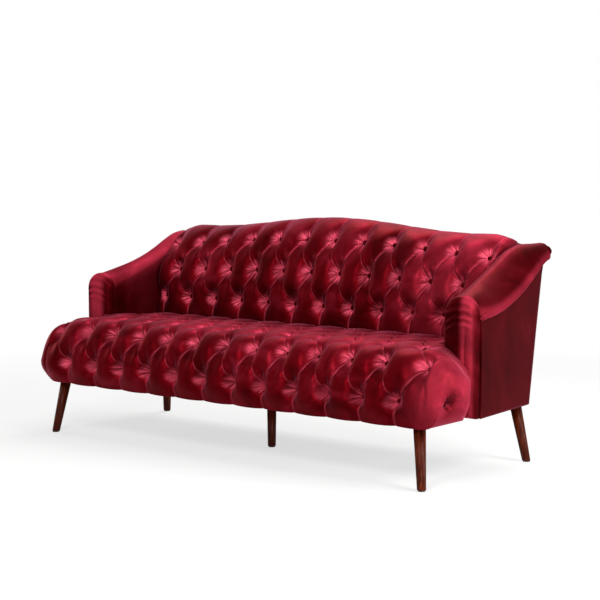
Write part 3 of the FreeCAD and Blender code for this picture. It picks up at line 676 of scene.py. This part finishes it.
# Back pad, rows from the seat up: dip y, z, outward way y, z, depth; lift of the hump by row
back = {
    "rows": [(160, 430, -1, 0, 30), (170, 529, -1, 0.05, 48), (183, 635, -0.98, 0.2, 48),
             (249, 733, -0.8, 0.6, 46), (330, 797, -0.25, 1, 24), (388, 790, 0.75, 0.65, 14),
             (398, 752, 1, 0.1, 4)],
    "lift": [0, 0, 22, 44, 46, 46, 46], "humpHalf": 650 * mm, "riseHalf": 770 * mm, "humpRows": (1.6, 3),
    "buttons": (11, 10, 11),  # last half pitch with a button, row by row
    "pitch": 140 * mm, "gap": 105 * mm, "half": 797 * mm, "lowSteps": 24, "topSteps": 34, "topRow": 5,
    "edgeLevels": (0.7, 0.85), "sagRows": ((-0.5, 0.3), (1.6, 2.3)), "panelGap": 8.5,
    # Ends: rounded over, sloping to the arms and leaning over them (rows, millimetres)
    "endPlaces": (765 * mm, 32 * mm), "endCut": ((-1, 2, 3, 5), (14, 14, 9, 3)),
    "slopePlaces": (728 * mm, 69 * mm), "slopeShape": 1.3, "slopeCut": ((2.1, 2.7, 3.4, 4.6), (0, 17, 17, 0)),
    "overFrom": 690 * mm, "over": ((1.8, 2.6, 3.4, 4.4), (0, 12, 12, 0)),
    # Firm core, which the inside of the pad follows
    "inner": [(372, 770), (300, 735), (262, 712), (196, 620), (182, 529), (178, 440)],
    "innerLift": [46, 30, 10, 0, 0, 0],
    # Painted highlight growing toward the right-hand end
    "nap": 0.4, "paintedLightPlaces": (300 * mm, 720 * mm),
}


def backPoints():
    steps, count = tuft["steps"], len(back["buttons"])
    step = back["pitch"] / 2 / steps
    columns = int(back["half"] / step)
    x = np.concatenate([[-back["half"]], np.arange(-columns, columns + 1) * step, [back["half"]]])
    b = np.concatenate([np.linspace(-1, 0, back["lowSteps"])[:-1], np.arange(2 * steps) / steps,
                        np.linspace(2, count, steps + 1)[:-1],
                        np.linspace(count, back["topRow"], back["topSteps"])])
    # Camel hump, which takes over from the gentle rise of the rows toward the top
    across = np.abs(x)
    rise = 1 - np.minimum(across / back["riseHalf"], 1) ** 2
    crown = np.where(across < back["humpHalf"], np.cos(np.pi * x / (2 * back["humpHalf"])) ** 2, 0)
    share = ease(*back["humpRows"], b)
    lift = np.interp(b + 1, range(len(back["lift"])), back["lift"]) * mm
    lift = lift * (rise[:, None] * (1 - share) + crown[:, None] * share)
    endFrom, endWidth = back["endPlaces"]
    end = np.clip((across - endFrom) / endWidth, 0, 1)
    cut = (1 - np.sqrt(1 - end ** 2))[:, None] * np.interp(b, *back["endCut"]) * mm
    slopeFrom, slopeWidth = back["slopePlaces"]
    slope = np.clip((across - slopeFrom) / slopeWidth, 0, 1)[:, None] ** back["slopeShape"]
    cut = cut + slope * np.interp(b, *back["slopeCut"]) * mm
    y, z, place, line = tuftedCover(back, x, b, 1, np.zeros((len(x), 1)), cut)
    z = z + lift
    y = np.minimum(y, rearY(z / mm, back["panelGap"]) * mm)
    yin, zin = innerRows(back, len(x))
    zin = zin + crown[:, None] * np.array(back["innerLift"]) * mm
    y = np.concatenate([y, yin, y[:, :1]], 1)
    z = np.concatenate([z, zin, z[:, :1]], 1)
    wide = np.repeat(x[:, None], y.shape[1], 1)
    lean = np.sign(x)[:, None] * ease(back["overFrom"], back["half"], across)[:, None]
    wide[:, :len(b)] += lean * (np.interp(b, *back["over"]) * mm)
    points = capped(np.stack([wide, y, z], 2))
    doubled = np.concatenate([[0], np.arange(len(x)), [len(x) - 1]])
    marks = coverMarks(points.shape[:2], place[doubled], line[doubled])
    # Painted highlight toward the right-hand end of the back
    marks["nap"] += back["nap"] * ease(*back["paintedLightPlaces"], x[doubled])[:, None]
    return points, marks, (x[doubled] / (back["pitch"] / 2), latticeRows(b, points.shape[1]))


def addBackPad(velvet):
    points, marks, lattice = backPoints()
    piece = gridPiece("backCover", points, velvet, marks, lattice)
    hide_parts("back_pad")
    print("back cover", len(piece.data.polygons))


# Arms, drawn for the right-hand side: y, inner x, drop, ridge x, ridge z, outer x, fall, swell, lip z
arm = {
    "stations": [(-99, 820, 62, 886, 632, 945, 66, 19, 545), (-30, 814, 52, 876, 651, 951, 70, 14, 556),
                 (40, 808, 47, 862, 673, 951, 74, 10, 571), (120, 802, 43, 856, 703, 948, 76, 9, 596),
                 (190, 798, 40, 854, 735, 946, 76, 9, 624), (255, 798, 37, 856, 767, 944, 72, 9, 663),
                 (320, 798, 33, 862, 787, 942, 54, 12, 711), (385, 798, 30, 868, 788, 938, 32, 17, 737),
                 (450, 798, 28, 870, 784, 938, 26, 17, 742)],
    "steps": 90, "rim": 0.01, "slab": 275, "frame": 862, "wallBow": 3, "hemBow": 16,
    "lipTuck": 14, "lipWidth": 22, "lipSeat": 6, "backGap": 9,
    "panelY": -99.7, "panelZ": 222, "panelFront": 950, "panelRear": 916,
    "leanY": 290, "leanZ": 220, "leanSlope": 0.2,
    # Painted highlight along the inside of the ridge (places, shares) and along the lip
    "nap": ((-99, 100, 300), (0.6, 1.0, 1.5)), "paintedLightDepth": 85, "paintedLightEdge": (-5, 30), "rightNap": 0.2,
    "lipPaintedLight": 0.7, "lipEdge": (-10, 5),
}
sides = {"right": np.array([1, 1, 1]), "left": np.array([-1, 1, 1])}


def rearY(z, ahead=0):
    # Depth of the leaning back plane at a height, moved forward by a thickness
    slope = arm["leanSlope"]
    return arm["leanY"] + slope * (z - arm["leanZ"]) - ahead * math.hypot(1, slope)


def panelX(y):
    # Outer face of the outside arm panel, which draws in toward the back
    share = (y - arm["panelY"]) / (rearY(arm["panelZ"]) - arm["panelY"])
    return arm["panelFront"] + (arm["panelRear"] - arm["panelFront"]) * share


def bowed(start, end, bulge, count):
    # Points along a shallow arc of (x, z), without its end
    t = np.linspace(0, 1, count + 1)[:-1, None]
    chord = end - start
    side = np.array([-chord[1], chord[0]]) * bulge / np.hypot(*chord)
    return start + chord * t + side * 4 * t * (1 - t)


def armPoints():
    last = len(arm["stations"]) - 1
    at = np.linspace(0, last, arm["steps"])
    at = np.sort(np.append(at, [arm["rim"], last - arm["rim"]]))
    arc = np.linspace(0, math.pi / 2, 23)[:-1]
    slab, frameX = arm["slab"], arm["frame"]
    rings, ridgePaintedLight, lipPaintedLight = [], [], []
    for y, inner, drop, ridgeX, ridge, outer, fall, swell, lip in smoothRows(at, arm["stations"]):
        under = lip + arm["lipTuck"]
        edge = max(outer - arm["lipWidth"], panelX(y) + 1)
        crest, brim, hem = np.array([ridgeX, ridge]), np.array([outer, ridge - fall]), np.array([edge, lip])
        wall = np.linspace([inner, slab], [inner, ridge - drop], 26)[:-1]
        wall[:, 0] -= arm["wallBow"] * np.sin(np.linspace(0, math.pi, 26)[:-1])
        shoulder = np.stack([ridgeX - (ridgeX - inner) * np.cos(arc), ridge - drop + drop * np.sin(arc)], 1)
        tucked = [panelX(y) - arm["lipSeat"], under]
        loop = [wall, shoulder, bowed(crest, brim, swell, 34), bowed(brim, hem, arm["hemBow"], 18),
                np.linspace(hem, tucked, 5)[:-1], np.linspace(tucked, [frameX, under], 8)[:-1],
                np.linspace([frameX, under], [frameX, slab], 12)[:-1],
                np.linspace([frameX, slab], [inner, slab], 7)]
        x, z = np.concatenate(loop).T
        depth = np.minimum(np.full(len(x), y), rearY(z, arm["backGap"]))
        rings.append(np.stack([x, depth, z], 1) * mm)
        # Painted highlight along the inside of the ridge and along the lip
        near, far = (ridgeX + past for past in arm["paintedLightEdge"])
        inside = (1 - ease(0, arm["paintedLightDepth"], ridge - z)) * (1 - ease(near, far, x))
        ridgePaintedLight.append(inside * np.interp(y, *arm["nap"]))
        near, far = (outer + past for past in arm["lipEdge"])
        lipPaintedLight.append(arm["lipPaintedLight"] * ease(near, far, x))
    paintedLights = [np.concatenate([nap[:1], nap, nap[-1:]]) for nap in (np.array(ridgePaintedLight), np.array(lipPaintedLight))]
    return capped(np.array(rings)), paintedLights


def addArmPads(velvet):
    points, (ridgePaintedLight, lipPaintedLight) = armPoints()
    # The right arm's ridge gets a smaller share of the painted highlight
    for name, share in (("right", arm["rightNap"]), ("left", 1)):
        piece = gridPiece(name + "ArmCover", points * sides[name], velvet,
                          {"nap": share * ridgePaintedLight + lipPaintedLight})
        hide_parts(name + "_arm_pad")
    print("arm covers made")


# Arm fronts: folds by height, droop and depth; painted highlight bands across the face from -1 to 1
front = {
    "inner": 819, "outer": 947, "top": 632, "bottom": 213, "face": -142, "back": -100, "rim": 0.6,
    "round": 26, "bulge": 4, "heart": 60, "faceDepth": 3,
    "folds": [(598, 18, 4.0), (570, 24, 5.0), (545, 26, 3.4)], "foldWidth": 7, "foldMid": 0.2,
    "foldLip": 0.7, "lipBelow": 1.6, "foldEnd": 1.2,
    "tuck": 3.5, "tuckAt": 0.45, "tuckSway": 0.05, "swayLength": 40, "tuckWidth": 0.09, "tuckTop": (480, 560),
    "nap": 1.3, "bands": {"right": ((0, 0.4), (0.75, 1)), "left": ((-0.8, -0.3), (0.3, 0.8))},
}


def frontOutline(mid, half, spring):
    # Round-topped outline (x, z), closed
    arc = np.linspace(0, math.pi, 81)
    side = np.linspace(front["bottom"], spring, 100)[:-1]
    base = np.linspace(front["outer"], front["inner"], 33)[1:-1]
    right, left = (np.full(len(side), front[edge]) for edge in ("outer", "inner"))
    x = np.concatenate([right, mid + half * np.cos(arc), left, base[::-1]])
    z = np.concatenate([side, spring + half * np.sin(arc), side[::-1], np.full(len(base), front["bottom"])])
    outline = np.stack([x, z], 1)
    return np.vstack([outline, outline[:1]])


def frontPoints():
    # Padded facing: rings from the back edge round the rim to the middle of the face
    half = (front["outer"] - front["inner"]) / 2
    mid, spring = front["inner"] + half, front["top"] - half
    outline = frontOutline(mid, half, spring)
    level = lambda ring, y: np.stack([ring[:, 0], np.full(len(ring), y), ring[:, 1]], 1)
    heartZ = np.clip(outline[:, 1], front["bottom"] + front["heart"], spring)
    heart = np.stack([np.full(len(outline), mid), heartZ], 1)
    size = front["round"]
    rings = [(0, front["back"]), (0, front["back"] - front["rim"])]
    rings += [(size * (1 - math.cos(t)), front["face"] + size - size * math.sin(t))
              for t in np.linspace(0, math.pi / 2, 9)]
    points = [level(heart, front["back"])]
    way = heart - outline
    far = np.maximum(np.linalg.norm(way, axis=1), 1e-6)[:, None]
    points += [level(outline + way / far * np.minimum(inset, far), y) for inset, y in rings]
    start = outline + way / far * np.minimum(size, far)
    for share in np.linspace(0, 1, 40)[1:]:
        bulge = front["face"] - front["bulge"] * math.sin(share * math.pi / 2)
        points.append(level(start + (heart - start) * share, bulge))
    points = np.array(points)
    # Pulled folds near the top and a shallow vertical tuck beside the outer edge
    u, z = (points[:, :, 0] - mid) / half, points[:, :, 2]
    face = points[:, :, 1] < front["face"] + front["faceDepth"]
    for height, drop, deep in front["folds"]:
        gap = (z - (height - drop * (u - front["foldMid"]) ** 2)) / front["foldWidth"]
        crease = np.exp(-gap ** 2) - front["foldLip"] * np.exp(-(gap + front["lipBelow"]) ** 2)
        points[:, :, 1] += np.where(face, deep * crease * np.clip(front["foldEnd"] - u ** 2, 0, 1), 0)
    sway = front["tuckSway"] * np.sin(z / front["swayLength"])
    tuck = (u - front["tuckAt"] - sway) / front["tuckWidth"]
    fall = 1 - ease(*front["tuckTop"], z)
    points[:, :, 1] += np.where(face, front["tuck"] * np.exp(-tuck ** 2) * fall, 0)
    return points * mm, u


def addArmFronts(velvet):
    points, u = frontPoints()
    for name, turned in sides.items():
        # Painted highlight band across each face, placed differently on each side
        rise, fade = front["bands"][name]
        band = ease(*rise, u) * (1 - ease(*fade, u))
        piece = gridPiece(name + "ArmFacing", points * turned, velvet,
                          {"nap": front["nap"] * band})
        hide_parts(name + "_arm_front")
    print("arm facings made")


armOutside = {"steps": 80, "rows": 60, "bottom": 211, "puff": 3.0, "sink": 1, "thick": 7, "backGap": 8.5}


def armOutsidePoints():
    # Thin covered panel under the roll, slightly puffed
    at = np.linspace(0, len(arm["stations"]) - 1, armOutside["steps"])
    rows = armOutside["rows"]
    puff = armOutside["puff"] * np.sin(np.linspace(0, math.pi, rows)) ** 0.5
    rings = []
    for station in smoothRows(at, arm["stations"]):
        y, lip = station[0], station[-1]
        z = np.linspace(armOutside["bottom"], lip + 1, rows)
        face = np.stack([panelX(y) + puff - armOutside["sink"], z], 1)
        wall = np.stack([np.full(len(z[::6]), panelX(y) - armOutside["thick"]), z[::-6]], 1)
        loop = np.concatenate([face, wall, face[:1]])
        depth = np.minimum(np.full(len(loop), y), rearY(loop[:, 1], armOutside["backGap"]))
        rings.append(np.stack([loop[:, 0], depth, loop[:, 1]], 1) * mm)
    return capped(np.array(rings))


def addArmOutsides(velvet):
    points = armOutsidePoints()
    for name, turned in sides.items():
        piece = gridPiece(name + "ArmOutside", points * turned, velvet)
        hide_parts(name + "_arm_outside_panel")
    print("arm outsides made")


# Outside back: half width at heights, then the top line at shares of the tip's width
outside = {
    "sides": [(212, 917), (469, 912), (680, 909), (722, 911), (731, 914), (738, 920), (747, 934), (758, 940),
              (767, 938), (774, 932), (780, 925)],
    "top": [(0, 851), (0.2, 846), (0.4, 832), (0.55, 815), (0.7, 807), (0.805, 803), (0.87, 785), (0.97, 784),
            (1, 780)],
    "columns": 161, "rows": 90, "thick": 7, "gap": 1, "sink": 3, "puff": 4.5, "puffSize": 900, "puffEdge": 14,
}


def outsideBackPoints():
    across = np.sin(np.linspace(-math.pi / 2, math.pi / 2, outside["columns"]))
    heights, widths = zip(*outside["sides"])
    shares, tops = zip(*outside["top"])
    size = outside["puffSize"]
    columns = []
    for s in across:
        top = np.interp(abs(s), shares, tops)
        z = heights[0] + (top - heights[0]) * np.linspace(0, 1, outside["rows"])
        x = s * np.interp(z, heights, widths)
        inset = np.minimum(np.minimum(1 - abs(s), (z - heights[0]) / size), np.maximum(top - z, 0) / size)
        puff = outside["puff"] * np.sqrt(np.clip(inset * outside["puffEdge"], 0, 1))
        rear = np.stack([x, rearY(z) - outside["sink"] + puff, z], 1)
        inside = np.stack([x, rearY(z) - outside["thick"] - outside["gap"], z], 1)[::-1]
        columns.append(np.concatenate([rear, inside, rear[:1]]))
    points = np.array(columns) * mm
    # Each end closes on the line midway between its two faces
    turned = np.concatenate([points[:, -2::-1], points[:, -2:-1]], 1)
    middle = (points + turned) / 2
    return np.concatenate([middle[:1], points, middle[-1:]], 0)


def addOutsideBack(velvet):
    piece = gridPiece("outsideBackCover", outsideBackPoints(), velvet)
    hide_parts("outside_back_panel")
    print("outside back made")


button = {"radius": 10 * mm, "rise": 6.5 * mm, "seatLift": 5.5 * mm, "endX": 945 * mm,
          "around": 14, "down": 8}


def buttonShape(bm, place, way):
    # Small covered dome, pulled down into its dip
    made = bmesh.ops.create_uvsphere(bm, u_segments=button["around"], v_segments=button["down"],
                                     radius=button["radius"])
    way = np.array(way) / np.linalg.norm(way)
    turn = Vector(way).to_track_quat("Z", "Y").to_matrix().to_4x4()
    squash = Matrix.Diagonal((1, 1, button["rise"] / button["radius"], 1))
    bmesh.ops.transform(bm, matrix=Matrix.Translation(Vector(place)) @ turn @ squash, verts=made["verts"])


def rowButtons(bm, look):
    # Buttons of each row; the seat's follow its ends, the back's follow the hump
    for index, last in enumerate(look["buttons"], 1):
        y, z, wayY, wayZ = look["rows"][index][:4]
        size = math.hypot(wayY, wayZ)
        for column in range(-last, last + 1, 2):
            x, out, lift = column * look["pitch"] / 2, button["seatLift"], 0
            if look is back:
                lift = look["lift"][index] * (1 - (x / look["riseHalf"]) ** 2)
            else:
                shift, shrink = seatEnd(np.array([x]))
                x += shift[0]
                out -= shrink[0] * look["endRounds"]["nose"] * mm
            place = (x, y * mm + wayY / size * out, (z + lift) * mm + wayZ / size * out)
            buttonShape(bm, place, (0, wayY, wayZ))


def addButtons(velvet):
    rows = (("seatButtons", seat, "seat_buttons"), ("backButtons", back, "back_buttons"))
    for name, look, node in rows:
        bm = bmesh.new()
        rowButtons(bm, look)
        if look is seat:
            y, z = look["endButton"]
            for sign in (1, -1):
                buttonShape(bm, (sign * button["endX"], y * mm, z * mm), (sign, 0, 0))
        piece = addPiece(name, finishedMesh(name, bm), velvet)
        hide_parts(node)
    print("buttons made")


# Legs: foot x, y and the way they lean in
leg = {
    "places": {"right_front_leg": (893, -366, -1, 1), "left_front_leg": (-893, -366, 1, 1),
               "right_rear_leg": (905, 293, -1, -1), "left_rear_leg": (-905, 293, 1, -1),
               "centre_leg": (0, -70, 0, 0)},
    "height": 208.5, "glide": 4, "splay": 0.15, "top": 21.5, "foot": 15.5, "centreTop": 19, "rim": 1.6,
}


def addLegs(walnut):
    for node, (x, y, wayX, wayY) in leg["places"].items():
        top = leg["centreTop"] if node == "centre_leg" else leg["top"]
        height = leg["height"] - leg["glide"]
        bm = bmesh.new()
        bmesh.ops.create_cone(bm, cap_ends=True, segments=48, radius1=leg["foot"], radius2=top,
                              depth=height)
        rims = [edge for edge in bm.edges if all(vert.co.z < 0 for vert in edge.verts)]
        bmesh.ops.bevel(bm, geom=rims, offset=leg["rim"], offset_type="OFFSET", affect="EDGES", segments=3,
                        profile=0.5, material=-1)
        lean = Matrix.Identity(4)
        lean[0][2], lean[1][2] = wayX * leg["splay"], wayY * leg["splay"]
        middle = leg["glide"] + height / 2
        foot = Vector((x + wayX * leg["splay"] * middle, y + wayY * leg["splay"] * middle, middle))
        bmesh.ops.transform(bm, matrix=Matrix.Scale(mm, 4) @ Matrix.Translation(foot) @ lean, verts=bm.verts)
        first, *rest = node.split("_")
        name = first + "".join(word.title() for word in rest) + "Turned"
        piece = addPiece(name, finishedMesh(node, bm), walnut)
        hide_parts(node)
    print("legs made")


# Floor, world and lamps: name, place, size, power
stage = {
    "floor": (0.94, 0.94, 0.93), "floorRough": 0.9, "floorSize": 30, "white": (1.5, 3.6), "shadow": 0.34,
    "world": 0.12, "aim": (0, 0, 0.45),
    "lamps": [("keyLamp", (1.5, -3.3, 3.1), 1.2, 86), ("rightLamp", (3.3, -0.2, 2.6), 1.1, 75),
              ("sideLamp", (3.6, 0.8, 1.0), 1.0, 55), ("topLamp", (-0.5, 1.7, 3.2), 2.0, 78),
              ("leftLamp", (-4.0, -0.6, 1.6), 1.2, 24), ("fillLamp", (3.6, -3.4, 0.9), 0.9, 52)],
}


def backdropRays(tree):
    # Rays that see the white background: the camera's, gloss and glass
    path = addNode(tree, "LightPath")
    seen = maths(tree, "MAXIMUM", path.outputs["Is Camera Ray"], path.outputs["Is Glossy Ray"])
    return maths(tree, "MAXIMUM", seen, path.outputs["Is Transmission Ray"])


def floorMaterial():
    # Plain floor that keeps the shadow near the settee and fades to white round it
    material, tree, shader = newMaterial("paleFloor", {
        "Base Color": (*stage["floor"], 1), "Roughness": stage["floorRough"], "Specular IOR Level": 0})
    reach = addNode(tree, "VectorMath")
    reach.operation = "LENGTH"
    tree.links.new(objectPoints(tree), reach.inputs[0])
    shares = (1 - stage["shadow"], 1)
    fade = mapRange(tree, reach.outputs["Value"], stage["white"], shares, "SMOOTHSTEP")
    white = addNode(tree, "Emission")
    mixed = addNode(tree, "MixShader")
    tree.links.new(maths(tree, "MULTIPLY", fade, backdropRays(tree)), mixed.inputs[0])
    tree.links.new(shader.outputs["BSDF"], mixed.inputs[1])
    tree.links.new(white.outputs["Emission"], mixed.inputs[2])
    tree.links.new(mixed.outputs["Shader"], tree.nodes["Material Output"].inputs["Surface"])
    return material


def addStage():
    bm = bmesh.new()
    bmesh.ops.create_grid(bm, x_segments=1, y_segments=1, size=stage["floorSize"])
    mesh = finishedMesh("floor", bm)
    floor = bpy.data.objects.new("floor", mesh)
    scene.collection.objects.link(floor)
    mesh.materials.append(floorMaterial())
    world = bpy.data.worlds.new("studio")
    scene.world = world
    world.use_nodes = True
    tree = world.node_tree
    background = tree.nodes["Background"]
    background.inputs["Color"].default_value = (1, 1, 1, 1)
    strength = mapRange(tree, backdropRays(tree), end=(stage["world"], 1))
    tree.links.new(strength, background.inputs["Strength"])
    for name, place, size, power in stage["lamps"]:
        lamp = bpy.data.lights.new(name, "AREA")
        lamp.size, lamp.energy = size, power
        holder = bpy.data.objects.new(name, lamp)
        holder.location = place
        way = Vector(stage["aim"]) - Vector(place)
        holder.rotation_euler = way.to_track_quat("-Z", "Y").to_euler()
        scene.collection.objects.link(holder)
    print("stage set")


def dressFrame():
    looks = {slot: plainMaterial(*look) for slot, look in plainLooks.items()}
    looks["walnut"], looks["crimson_velvet"] = walnutMaterial(), velvetMaterial("crimsonVelvetFlatPaintedShade")
    slots = {row["node"]: row["material_slot"] for row in frame["record"]["subparts"]}
    for node, piece in frame["nodes"].items():
        piece.data.materials.clear()
        piece.data.materials.append(looks[slots[node]])
    print("frame dressed")
    return looks


addCamera()
looks = dressFrame()
velvet = velvetMaterial("crimsonVelvetPaintedShade")
tufted = velvetMaterial("crimsonTufted")
addSeatPad(tufted)
addSeatCore(looks["foam"])
addBackPad(tufted)
addArmPads(velvet)
addArmFronts(velvet)
addArmOutsides(looks["crimson_velvet"])
addOutsideBack(looks["crimson_velvet"])
addButtons(velvet)
addLegs(looks["walnut"])
addStage()
